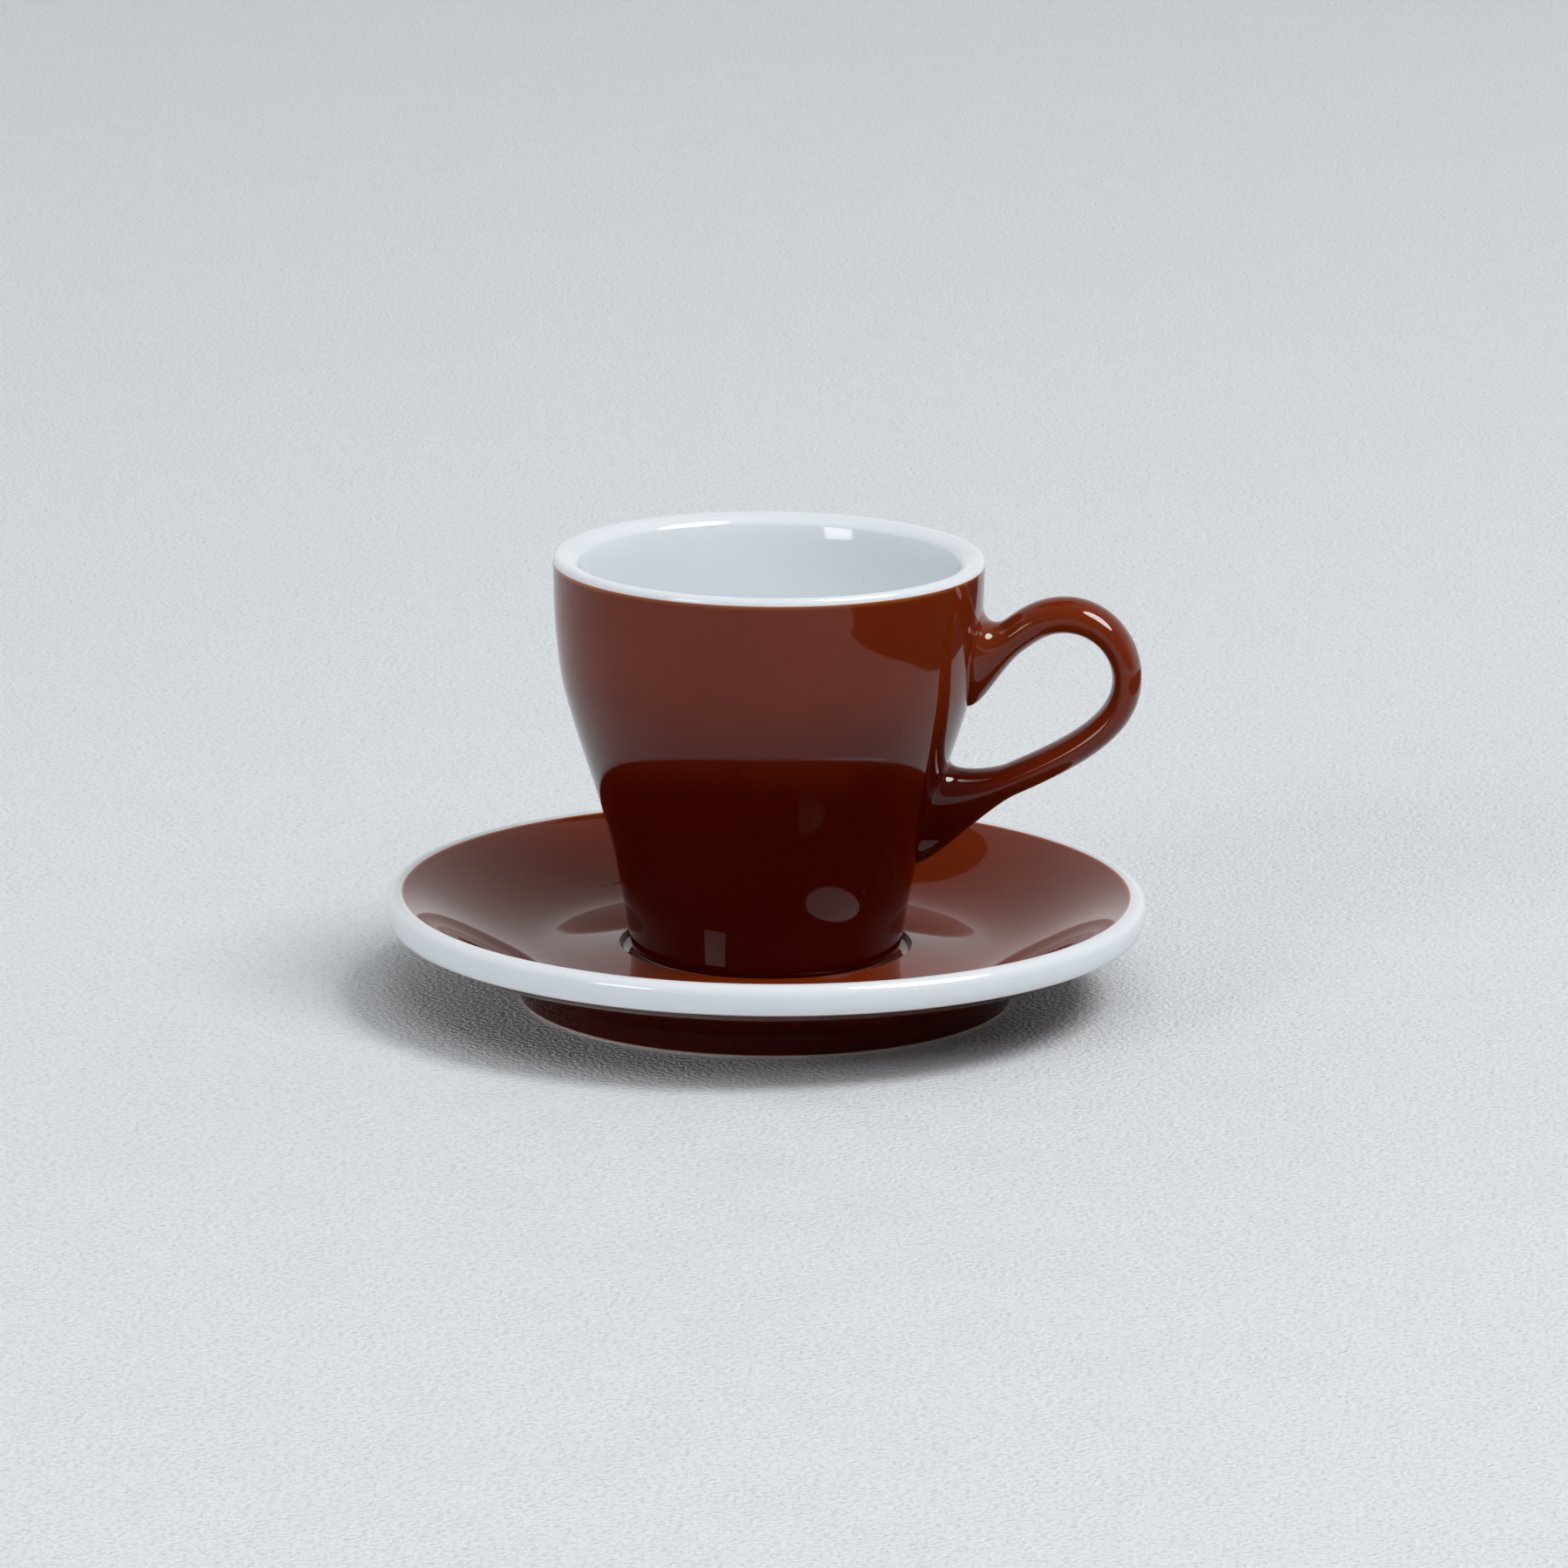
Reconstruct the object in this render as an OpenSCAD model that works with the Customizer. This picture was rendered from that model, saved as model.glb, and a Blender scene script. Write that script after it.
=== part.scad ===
// Cappuccino cup on its saucer, in millimetres.
// The saucer stands on z = 0 with its axis on the Z axis, and the cup's handle points along +X.
// Each clay piece is a solid of its own, and so is each coat of glaze that covers it.

/* [Saucer] */
// Outer diameter of the saucer
saucer_d = 140; // [134:1:160]
// Height of the saucer's rim above the table
saucer_h = 19.9; // [18.5:0.1:24]
// Height of the rim's white outer face
rim_h = 5.5; // [5:0.1:7]
// Width of the white band on top of the rim
rim_w = 3; // [2.4:0.1:3.6]
// Radius of the rim's rolled edge
rim_r = 2; // [1.8:0.1:2.4]
// How far the rim's face leans in at its lower edge
rim_tuck = 0.8; // [0.2:0.1:1.6]
// Slope of the flange where it meets the rim, in degrees
flange_slope = 21; // [16:1:28]
// Diameter of the lowest circle of the dish
trough_d = 82; // [74:1:90]
// Depth of that circle below the crest of the ring round the well
trough_drop = 1.1; // [0.6:0.1:1.6]
// Slope of the ring's outer side at its crest, in degrees
ring_slope = 6; // [2:1:12]
// Depth of the well below the crest of its ring
well_depth = 1.4; // [1:0.1:2]
// Width of the well's wall, seen from above
well_wall_w = 0.8; // [0.6:0.1:1.2]
// Thickness of the saucer under the cup
well_floor_t = 4.5; // [4:0.1:6]
// Depth of the hollow inside the saucer's foot ring
saucer_recess = 4.1; // [3:0.1:4.4]
// Diameter of the saucer's foot ring at the table
saucer_foot_d = 91; // [84:1:98]
// Width of the saucer's foot ring
saucer_foot_w = 4; // [3:0.1:6]
// Height of the foot ring's outer wall
saucer_foot_h = 4.5; // [3.5:0.1:5.5]
// How far the foot ring's outer wall leans out on its way up
saucer_foot_lean = 1; // [0:0.1:2]
// Radius of the fillet inside the saucer's foot ring
saucer_foot_fillet = 1.3; // [0.8:0.1:2]

/* [Cup] */
// Height of the cup from its foot to its lip
cup_h = 74.4; // [71:0.1:90]
// Outer diameter of the lip
lip_d = 79; // [76:0.5:86]
// Height of the rounded white lip
lip_h = 1.3; // [1:0.1:2.2]
// Distance from the lip's outer edge in to its crest
lip_crest = 1.1; // [0.8:0.1:2]
// Height of the soft roll from the lip's crest down to the inside of the wall
lip_roll_h = 1.9; // [1.4:0.1:4]
// Thickness of the cup's wall at the lip
wall_t = 3.9; // [3.2:0.1:4.6]
// How much thicker the cup's wall grows below the lip
wall_gain = 2.1; // [1.4:0.1:2.8]
// Depth over which the cup's wall grows thicker
gain_h = 4.5; // [3:0.5:7]
// Outer diameter at the collar, where the wall turns upright
collar_d = 78; // [76.5:0.5:80]
// Height of the collar above the cup's foot
collar_z = 61; // [57:0.5:65]
// Outer diameter at the shoulder
shoulder_d = 74.5; // [71:0.5:76]
// Height of the shoulder above the cup's foot
shoulder_z = 49; // [45:0.5:53]
// Outer diameter at the waist, where the wall starts to flare
waist_d = 57.3; // [54:0.1:62]
// Height of the waist above the cup's foot
waist_z = 21; // [17:0.5:25]
// Outer diameter of the cup's foot
cup_foot_d = 49.2; // [46:0.1:53]
// Width of the cup's foot ring
cup_foot_w = 3; // [2:0.1:5]
// Size of the bevel round the cup's foot
cup_foot_bevel = 1.2; // [0.9:0.1:1.8]
// Depth of the hollow under the cup
cup_recess = 1.6; // [1.2:0.1:2.4]
// Radius of the fillet inside the cup's foot ring
cup_foot_fillet = 0.8; // [0.3:0.1:1]
// Thickness of the cup's floor above that hollow
cup_floor_t = 4.4; // [3.5:0.1:7]
// Height of the rounded bottom of the cup's inside
bowl_h = 13; // [8:0.5:20]
// Free play of the cup's foot in the well, all round
seat_play = 1.6; // [0.8:0.1:2.5]

/* [Handle] */
// Depth of the middle of the upper root below the lip
upper_root_drop = 17.7; // [15.4:0.1:21.4]
// Height of the upper root on the wall
upper_root_h = 19; // [16:0.1:21]
// Width of the upper root on the wall
upper_root_w = 17; // [13:0.1:19]
// Height of the middle of the lower root above the cup's foot
lower_root_z = 27.3; // [24:0.1:31]
// Height of the lower root on the wall
lower_root_h = 20; // [17:0.1:23]
// Width of the lower root on the wall
lower_root_w = 14; // [12:0.1:17]
// How far the arch's centre line rises above the middle of the upper root
arch_rise = 8.1; // [6:0.1:10]
// How far the top of the arch stands out from the wall
arch_out = 16; // [13:0.1:19]
// How far the bow's centre line stands out from the wall
bow_out = 27.2; // [24:0.1:34]
// How far the bow's outermost point lies below the top of the arch
bow_drop = 11.7; // [10:0.1:14]
// Angle at which the upper arm leaves the wall, in degrees
upper_arm_angle = 23; // [10:1:40]
// Angle at which the lower arm meets the wall, in degrees
lower_arm_angle = 24; // [14:1:34]
// Thickness of the handle at the arch, in the plane of the loop
arch_t = 6.6; // [5.5:0.1:8]
// Thickness of the handle at the bow
bow_t = 5.4; // [4.6:0.1:7]
// Thickness of the handle on the lower arm
arm_t = 5.9; // [5:0.1:7]
// Width of the handle across the loop
grip_w = 10; // [8:0.1:12]
// Radius of the fillet where the roots run into the wall
root_fillet = 3; // [2:0.1:4]
// How far the pointed lower end of a root stands off the wall
root_tip_t = 3; // [2:0.1:4]
// Length over which the upper arm keeps its angle
upper_arm_lead = 7; // [5:0.5:9]
// Length over which the arch stays level on its way in to the cup
arch_lead = 7; // [5:0.5:9]
// Length over which the bow stays upright on its way down
bow_lead = 11; // [8:0.5:14]
// Length over which the lower arm keeps its angle
lower_arm_lead = 22; // [18:0.5:26]
// Length over which the sides of a root blend into the arm
root_side_lead = 2.4; // [1.6:0.1:3.2]
// Length over which the pointed lower end of a root blends into the arm
root_tip_lead = 6; // [4:0.1:8]

/* [Coats] */
// Thickness of a coat of glaze, and of the slip that joins the handle to the wall
glaze_t = 0.4; // [0.3:0.05:0.6]
// Height of the bare edge at the foot rings
bare_h = 0.6; // [0.4:0.1:0.8]
// Clearance between the handle's clay and both its glaze and the cup's wall
joint_gap = 0.06; // [0.04:0.01:0.1]

/* [Hidden] */
$fn = 128;

clay_colour = "#e6dfd2";
slip_colour = "#d8cbb8";
brown_colour = "#571f14";
white_colour = "#eef1f4";

// Heights above the table
cup_z = saucer_recess + well_floor_t;
crest_z = cup_z + well_depth;
trough_z = crest_z - trough_drop;

// Steps along the curves of the outlines
corner_steps = 5;
round_steps = 10;
dish_steps = 14;
wall_steps = 40;
bowl_steps = 14;

// Plain helpers
function mix(a, b, t) = a + (b - a) * t;
function unit(v) = v / norm(v);
function last(p) = p[len(p) - 1];
function but_first(p) = [for (i = [1:1:len(p) - 1]) p[i]];
function ease(t) = t * t * (3 - 2 * t);

// Points of an elliptical arc round c, from angle a0 to angle a1
function arc(c, rx, ry, a0, a1, n) =
    [for (k = [0:n]) let (a = mix(a0, a1, k / n)) c + [rx * cos(a), ry * sin(a)]];

// A round corner of radius r at p, from the roof of a foot ring's hollow down its wall
function fillet(p, r) = arc(p - [r, r], r, r, 90, 0, corner_steps);

// A cubic curve with the end slopes ma and mb, at x
function cubic(a, ma, b, mb, x) =
    let (h = b[0] - a[0], u = (x - a[0]) / h)
    a[1] * (1 - ease(u)) + b[1] * ease(u) + h * u * (1 - u) * (ma * (1 - u) - mb * u);

// A smooth curve through the stations s, at x
function slope_at(s, i) =
    let (a = s[max(i - 1, 0)], b = s[min(i + 1, len(s) - 1)]) (b[1] - a[1]) / (b[0] - a[0]);
function through(s, x) =
    let (below = [for (i = [0:len(s) - 2]) if (i == 0 || x >= s[i][0]) i], i = last(below))
    cubic(s[i], slope_at(s, i), s[i + 1], slope_at(s, i + 1), x);

function bezier(p0, p1, p2, p3, t) =
    let (s = 1 - t) p0 * s * s * s + p1 * 3 * s * s * t + p2 * 3 * s * t * t + p3 * t * t * t;
function bezier_dir(p0, p1, p2, p3, t) =
    let (s = 1 - t) unit((p1 - p0) * s * s + (p2 - p1) * 2 * s * t + (p3 - p2) * t * t);

// The outline p moved into the clay by the thickness t at each point; points on the axis stay on it
function left_of(a, b) = let (d = unit(b - a)) [-d[1], d[0]];
function inward(p, i) =
    let (end = len(p) - 1,
         n1 = left_of(p[max(i - 1, 0)], p[max(i, 1)]),
         n2 = left_of(p[min(i, end - 1)], p[min(i + 1, end)]))
    (n1 + n2) / (1 + n1 * n2);
function inset(p, t) =
    [for (i = [0:len(p) - 1])
        let (q = p[i] + t[i] * inward(p, i)) [p[i][0] == 0 ? 0 : q[0], q[1]]];

// The section of the coat between two points of an outline; it thins out to nothing at a bare edge
function coat(skin, core, t, a, b) =
    concat([for (i = [a:b]) skin[i]], [for (i = [b:-1:a]) if (t[i] > 0) core[i]]);

// Saucer: outline from the axis underneath, out round the rim and back to the axis on top
saucer_r = saucer_d / 2;
s_foot_out = saucer_foot_d / 2;
s_foot_in = s_foot_out - saucer_foot_w;
// Share of the rim's face at which its lean ends
rim_corner_share = 0.3;
rim_low = [saucer_r - rim_tuck, saucer_h - rim_h];
rim_mid = [saucer_r, saucer_h - rim_r];
rim_corner = [saucer_r, mix(rim_low[1], rim_mid[1], rim_corner_share)];
rim_turn = 90 + asin((rim_w - rim_r) / rim_r);
rim_arc = arc([saucer_r - rim_r, saucer_h - rim_r], rim_r, rim_r, 0, rim_turn, round_steps);
flange_end = last(rim_arc);
well_r = cup_foot_d / 2 + seat_play;
crest = [well_r + well_wall_w, crest_z];
trough = [trough_d / 2, trough_z];

function dish_z(r) =
    r < trough[0] ? cubic(crest, -tan(ring_slope), trough, 0, r)
                  : cubic(trough, 0, flange_end, tan(flange_slope), r);

saucer_base = concat(
    [[0, saucer_recess]],
    fillet([s_foot_in, saucer_recess], saucer_foot_fillet),
    [[s_foot_in, bare_h]]);
saucer_foot = [[s_foot_in + bare_h, 0], [s_foot_out - bare_h, 0]];
saucer_under = [[s_foot_out, bare_h], [s_foot_out + saucer_foot_lean, saucer_foot_h], rim_low];
saucer_rim = concat(
    [for (k = [1:corner_steps - 1])
        let (t = k / corner_steps)
        mix(mix(rim_low, rim_corner, t), mix(rim_corner, rim_mid, t), t)],
    rim_arc);
saucer_flange = concat(
    [for (k = [1:dish_steps]) let (r = mix(flange_end[0], trough[0], k / dish_steps)) [r, dish_z(r)]],
    [for (k = [1:dish_steps]) let (r = mix(trough[0], crest[0], k / dish_steps)) [r, dish_z(r)]]);
saucer_well = concat(
    [for (k = [1:corner_steps]) let (t = k / corner_steps)
        [crest[0] - well_wall_w * t, crest_z - well_depth * ease(t)]],
    [[0, cup_z]]);

saucer_skin = concat(saucer_base, saucer_foot, saucer_under, saucer_rim, saucer_flange, saucer_well);
s_base_end = len(saucer_base) - 1;
s_under_start = s_base_end + len(saucer_foot) + 1;
s_rim_start = s_under_start + len(saucer_under) - 1;
s_top_start = s_rim_start + len(saucer_rim);
s_axis = len(saucer_skin) - 1;
saucer_coat_t = [for (i = [0:s_axis]) i >= s_base_end && i <= s_under_start ? 0 : glaze_t];
saucer_core = inset(saucer_skin, saucer_coat_t);

module saucer_coat(a, b) {
    rotate_extrude() polygon(coat(saucer_skin, saucer_core, saucer_coat_t, a, b));
}

// Cup: outline from the axis underneath, up the outside, over the lip and down to the axis inside
lip_z = cup_h - lip_h;
cup_stations = [[0, cup_foot_d / 2], [waist_z, waist_d / 2], [shoulder_z, shoulder_d / 2],
                [collar_z, collar_d / 2], [lip_z, lip_d / 2]];
function cup_r(z) = through(cup_stations, z);

c_foot_out = cup_r(cup_foot_bevel) - cup_foot_bevel;
c_foot_in = c_foot_out - cup_foot_w;
bowl_z = cup_recess + cup_floor_t + bowl_h;

cup_base = concat(
    [[0, cup_recess]],
    fillet([c_foot_in, cup_recess], cup_foot_fillet),
    [[c_foot_in, bare_h]]);
cup_foot = [[c_foot_in + bare_h, 0], [c_foot_out, 0]];
cup_outer = concat(
    [[c_foot_out + bare_h, bare_h]],
    [for (k = [0:wall_steps]) let (z = mix(cup_foot_bevel, lip_z, k / wall_steps)) [cup_r(z), z]]);
cup_lip = but_first(arc([lip_d / 2 - lip_crest, lip_z], lip_crest, lip_h, 0, 90, round_steps));
roll_z = cup_h - lip_roll_h;
function wall_at(z) = wall_t + wall_gain * (1 - exp((z - cup_h) / gain_h));
cup_roll = [for (k = [1:2 * round_steps])
    let (a = 90 * k / (2 * round_steps), z = roll_z + lip_roll_h * cos(a))
    [cup_r(min(z, lip_z)) - mix(lip_crest, wall_at(z), sin(a)), z]];
cup_inner = [for (k = [1:wall_steps])
    let (z = mix(roll_z, bowl_z, k / wall_steps)) [cup_r(z) - wall_at(z), z]];
cup_bowl = [for (k = [1:bowl_steps])
    let (a = 90 * k / bowl_steps, z = bowl_z - bowl_h * sin(a)) [(cup_r(z) - wall_at(z)) * cos(a), z]];

cup_skin = concat(cup_base, cup_foot, cup_outer, cup_lip, cup_roll, cup_inner, cup_bowl);
c_base_end = len(cup_base) - 1;
c_outer_start = c_base_end + len(cup_foot) + 1;
c_lip_start = c_outer_start + len(cup_outer) - 1;
c_axis = len(cup_skin) - 1;
cup_coat_t = [for (i = [0:c_axis]) i >= c_base_end && i <= c_outer_start ? 0 : glaze_t];
cup_core = inset(cup_skin, cup_coat_t);

module cup_coat(a, b) {
    rotate_extrude() polygon(coat(cup_skin, cup_core, cup_coat_t, a, b));
}

// Handle: three cubic curves, from the upper root to the arch, to the bow and to the lower root
clay_inset = glaze_t + joint_gap;
ring_sides = 16;
ring_angles = [for (k = [0:ring_sides - 1]) 360 * k / ring_sides];
flare_steps = 6;
loop_steps = 26;
// Share of the way that the curve from the arch to the bow runs straight at each end
round_share = 0.55;
// Share by which a root widens at its top and narrows at its lower end
root_taper = 0.35;
// Share of its curve that each root's flare takes
upper_flare_share = 0.42;
lower_flare_share = 0.26;

upper_root_z = cup_h - upper_root_drop;
root_x = cup_r(upper_root_z);
arch = [root_x + arch_out, upper_root_z + arch_rise];
bow = [root_x + bow_out, arch[1] - bow_drop];
upper_start = [root_x, upper_root_z];
lower_end = [cup_r(lower_root_z), lower_root_z];
loop_curves = [
    [upper_start, upper_start + upper_arm_lead * [cos(upper_arm_angle), sin(upper_arm_angle)],
     arch - [arch_lead, 0], arch],
    [arch, [mix(arch[0], bow[0], round_share), arch[1]],
     [bow[0], mix(bow[1], arch[1], round_share)], bow],
    [bow, bow - [0, bow_lead],
     lower_end + lower_arm_lead * [cos(lower_arm_angle), sin(lower_arm_angle)], lower_end]];

// Stations along the loop where the flares end
upper_flare_end = upper_flare_share;
lower_flare_end = len(loop_curves) - lower_flare_share;

function loop_point(s) =
    let (i = min(floor(s), 2), c = loop_curves[i]) bezier(c[0], c[1], c[2], c[3], s - i);
function loop_dir(s) =
    let (i = min(floor(s), 2), c = loop_curves[i]) bezier_dir(c[0], c[1], c[2], c[3], s - i);
function loop_t(s) = lookup(s, [[0, arch_t], [1, arch_t], [2, bow_t], [3, arm_t]]);

// One point of the oval section at s, with the angle a counted from the outside of the loop
function grip_point(s, a, g) =
    let (p = loop_point(s), d = loop_dir(s), v = (loop_t(s) / 2 - g) * cos(a))
    [p[0] - d[1] * v, (grip_w / 2 - g) * sin(a), p[1] + d[0] * v];

// A root is its middle height, its height and width on the wall, and 1 where its top faces out of the loop
upper_root = [upper_root_z, upper_root_h, upper_root_w, 1];
lower_root = [lower_root_z, lower_root_h, lower_root_w, -1];
function root_rise(root, a) = root[3] * cos(a);
function root_yz(root, a, g) =
    let (c = root_rise(root, a))
    [(root[2] / 2 - g) * sin(a) * (1 + root_taper * c), root[0] + (root[1] / 2 - g) * c];
function on_wall(p) = let (r = cup_r(p[1]) + joint_gap) [sqrt(r * r - p[0] * p[0]), p[0], p[1]];
function tip_share(root, a) = pow((1 - root_rise(root, a)) / 2, 2);

// One point of a root's flare: t runs from the wall to the section at s
function flare_point(root, s, a, t, g) =
    let (p = root_yz(root, a, g),
         middle = [0, root[0]],
         tip = tip_share(root, a),
         wall = on_wall(p),
         foot = on_wall(p + root_fillet * unit(middle - p)),
         end = grip_point(s, a, g),
         d = loop_dir(s) * root[3],
         lead = mix(root_side_lead, root_tip_lead, tip))
    bezier(wall, mix(foot, wall + [root_tip_t, 0, 0], tip), end - lead * [d[0], 0, d[1]], end, t);

function cap_ring(root, share, g) =
    [for (a = ring_angles) let (m = [0, root[0]]) on_wall(mix(m, root_yz(root, a, g), share))];
function handle_rings(g) = concat(
    [for (k = [0:flare_steps - 1])
        [for (a = ring_angles) flare_point(upper_root, upper_flare_end, a, k / flare_steps, g)]],
    [for (k = [0:loop_steps])
        let (s = mix(upper_flare_end, lower_flare_end, k / loop_steps))
        [for (a = ring_angles) grip_point(s, a, g)]],
    [for (k = [flare_steps - 1:-1:0])
        [for (a = ring_angles) flare_point(lower_root, lower_flare_end, a, k / flare_steps, g)]]);

// Triangles of the bands from first to last, between each of m rings and the next.
// Where back is true the rings run the other way, and the same diagonals cut the bands.
function band_faces(m, first, last, back) =
    [for (i = [first:last], j = [0:ring_sides - 1], half = [0, 1])
        let (i2 = (i + 1) % m, j2 = (j + 1) % ring_sides,
             a = i * ring_sides + j, b = i * ring_sides + j2,
             c = i2 * ring_sides + j2, d = i2 * ring_sides + j)
        half == 0 ? (back ? [a, b, d] : [a, b, c]) : (back ? [b, c, d] : [a, c, d])];

module ringed_solid(rings, first_middle, last_middle) {
    m = len(rings);
    n = m * ring_sides;
    points = concat([for (r = rings) each r], [first_middle, last_middle]);
    start_fan = [for (j = [0:ring_sides - 1]) [n, (j + 1) % ring_sides, j]];
    end_fan = [for (j = [0:ring_sides - 1])
        [n + 1, n - ring_sides + j, n - ring_sides + (j + 1) % ring_sides]];
    polyhedron(points, concat(band_faces(m, 0, m - 2, false), start_fan, end_fan));
}

module ringed_sleeve(outer, inner) {
    n = len(outer);
    rings = concat(outer, [for (i = [n - 1:-1:0]) inner[i]]);
    polyhedron([for (r = rings) each r],
               concat(band_faces(2 * n, 0, n - 1, false), band_faces(2 * n, n, 2 * n - 1, true)));
}

// The outline of a root, run through the wall along X
module root_prism(root) {
    rotate([90, 0, 90])
        linear_extrude(lip_d)
            polygon([for (a = ring_angles) root_yz(root, a, glaze_t)]);
}

module lute(root) {
    translate([0, 0, cup_z]) intersection() {
        cup_coat(c_outer_start, c_lip_start);
        root_prism(root);
    }
}

// Clay piece of the saucer, bare at its foot ring
module saucer_body() {
    color(clay_colour) rotate_extrude() polygon(saucer_core);
}

// Brown glaze on the flange and in the well
module saucer_top_glaze() {
    color(brown_colour) saucer_coat(s_top_start, s_axis);
}

// White glaze over the rolled rim
module saucer_rim_glaze() {
    color(white_colour) saucer_coat(s_rim_start, s_top_start);
}

// Brown glaze on the underside and on the outer wall of the foot ring
module saucer_under_glaze() {
    color(brown_colour) saucer_coat(s_under_start, s_rim_start);
}

// Brown glaze in the hollow inside the foot ring
module saucer_base_glaze() {
    color(brown_colour) saucer_coat(0, s_base_end);
}

// Clay piece of the cup, bare at its foot ring
module cup_body() {
    color(clay_colour) translate([0, 0, cup_z]) rotate_extrude() polygon(cup_core);
}

// White glaze inside the cup and over its lip
module cup_liner_glaze() {
    color(white_colour) translate([0, 0, cup_z]) cup_coat(c_lip_start, c_axis);
}

// Brown glaze on the outside, open where the handle's roots join the wall
module cup_outer_glaze() {
    color(brown_colour) translate([0, 0, cup_z]) difference() {
        cup_coat(c_outer_start, c_lip_start);
        root_prism(upper_root);
        root_prism(lower_root);
    }
}

// Brown glaze in the hollow under the cup
module cup_base_glaze() {
    color(brown_colour) translate([0, 0, cup_z]) cup_coat(0, c_base_end);
}

// Clay piece of the handle
module cup_handle() {
    rings = concat(
        [for (share = [1 / 3, 2 / 3]) cap_ring(upper_root, share, clay_inset)],
        handle_rings(clay_inset),
        [for (share = [2 / 3, 1 / 3]) cap_ring(lower_root, share, clay_inset)]);
    color(clay_colour) translate([0, 0, cup_z])
        ringed_solid(rings, on_wall([0, upper_root_z]), on_wall([0, lower_root_z]));
}

// Brown glaze round the handle, from root to root
module handle_glaze() {
    color(brown_colour) translate([0, 0, cup_z]) ringed_sleeve(handle_rings(0), handle_rings(glaze_t));
}

// Film of slip between the handle's upper root and the wall
module handle_upper_lute() {
    color(slip_colour) lute(upper_root);
}

// Film of slip between the handle's lower root and the wall
module handle_lower_lute() {
    color(slip_colour) lute(lower_root);
}

saucer_body();
saucer_top_glaze();
saucer_rim_glaze();
saucer_under_glaze();
saucer_base_glaze();
cup_body();
cup_liner_glaze();
cup_outer_glaze();
cup_base_glaze();
cup_handle();
handle_glaze();
handle_upper_lute();
handle_lower_lute();
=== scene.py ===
"""Cappuccino cup on its saucer: the glazed meshes, their finishes, the light and the camera.

Lengths in the dataclasses are millimetres and angles are degrees; meshes are built in metres.
"""

import logging
import math
from dataclasses import dataclass, field
from enum import Enum
from typing import Sequence

import bpy
import numpy as np
from mathutils import Matrix, Vector

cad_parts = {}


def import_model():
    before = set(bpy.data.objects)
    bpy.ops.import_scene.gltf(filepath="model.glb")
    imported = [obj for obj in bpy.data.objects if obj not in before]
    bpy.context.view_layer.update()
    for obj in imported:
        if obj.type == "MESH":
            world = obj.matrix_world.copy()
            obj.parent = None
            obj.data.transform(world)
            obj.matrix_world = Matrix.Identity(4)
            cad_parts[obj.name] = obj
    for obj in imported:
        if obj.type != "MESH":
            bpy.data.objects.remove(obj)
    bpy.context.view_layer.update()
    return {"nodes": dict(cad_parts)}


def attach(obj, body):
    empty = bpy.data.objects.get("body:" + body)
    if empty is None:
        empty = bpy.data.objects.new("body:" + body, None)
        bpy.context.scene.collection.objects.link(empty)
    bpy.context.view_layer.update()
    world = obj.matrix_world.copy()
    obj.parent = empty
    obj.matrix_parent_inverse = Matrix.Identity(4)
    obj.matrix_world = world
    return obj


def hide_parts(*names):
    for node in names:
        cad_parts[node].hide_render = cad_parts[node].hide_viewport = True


MM = 0.001
# Numbers of a colour mixer's sockets
MIX_FIRST, MIX_SECOND, MIX_RESULT = 6, 7, 2
log = logging.getLogger("cup_and_saucer")

Point = tuple[float, float]
Colour = tuple[float, float, float]


class Body(Enum):
    """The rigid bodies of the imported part."""

    SAUCER = "saucer"
    CUP = "cup"


class Slot(Enum):
    """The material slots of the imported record."""

    CLAY = "clay"
    SLIP = "slip"
    BROWN = "brown_glaze"
    WHITE = "white_glaze"


class LampShape(Enum):
    """The outlines of the lamps."""

    RECTANGLE = "RECTANGLE"
    OVAL = "ELLIPSE"


class Edge(Enum):
    """Which ends of a coat run out thin."""

    START = "start"
    END = "end"
    BOTH = "both"


# Plane curves

def mix(a: float, b: float, t: float) -> float:
    """Return the value a share t of the way from a to b."""
    return a + (b - a) * t


def ease(t: float | np.ndarray) -> float | np.ndarray:
    """Return t with a smooth start and end."""
    return t * t * (3 - 2 * t)


def arc(centre: Point, rx: float, ry: float, start: float, end: float, steps: int) -> list[Point]:
    """Points of an elliptical arc.

    Args:
        centre: middle of the ellipse.
        rx: half width.
        ry: half height.
        start: first angle in degrees.
        end: last angle in degrees.
        steps: number of stretches.

    Returns:
        The points, both ends included.
    """
    angles = np.radians(np.linspace(start, end, steps + 1))
    return [(centre[0] + rx * math.cos(a), centre[1] + ry * math.sin(a)) for a in angles]


def line(a: Point, b: Point, steps: int) -> list[Point]:
    """Points of a straight stretch.

    Args:
        a: first end.
        b: last end.
        steps: number of stretches.

    Returns:
        The points after the first end.
    """
    return [(mix(a[0], b[0], k / steps), mix(a[1], b[1], k / steps)) for k in range(1, steps + 1)]


def cubic(a: Point, slope_a: float, b: Point, slope_b: float, x: float) -> float:
    """Height at x of the cubic from a to b with the given end slopes.

    Args:
        a: first end.
        slope_a: slope there.
        b: last end.
        slope_b: slope there.
        x: place along the curve.

    Returns:
        The height at x.
    """
    run = b[0] - a[0]
    u = (x - a[0]) / run
    bow = run * u * (1 - u) * (slope_a * (1 - u) - slope_b * u)
    return a[1] * (1 - ease(u)) + b[1] * ease(u) + bow


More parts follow.
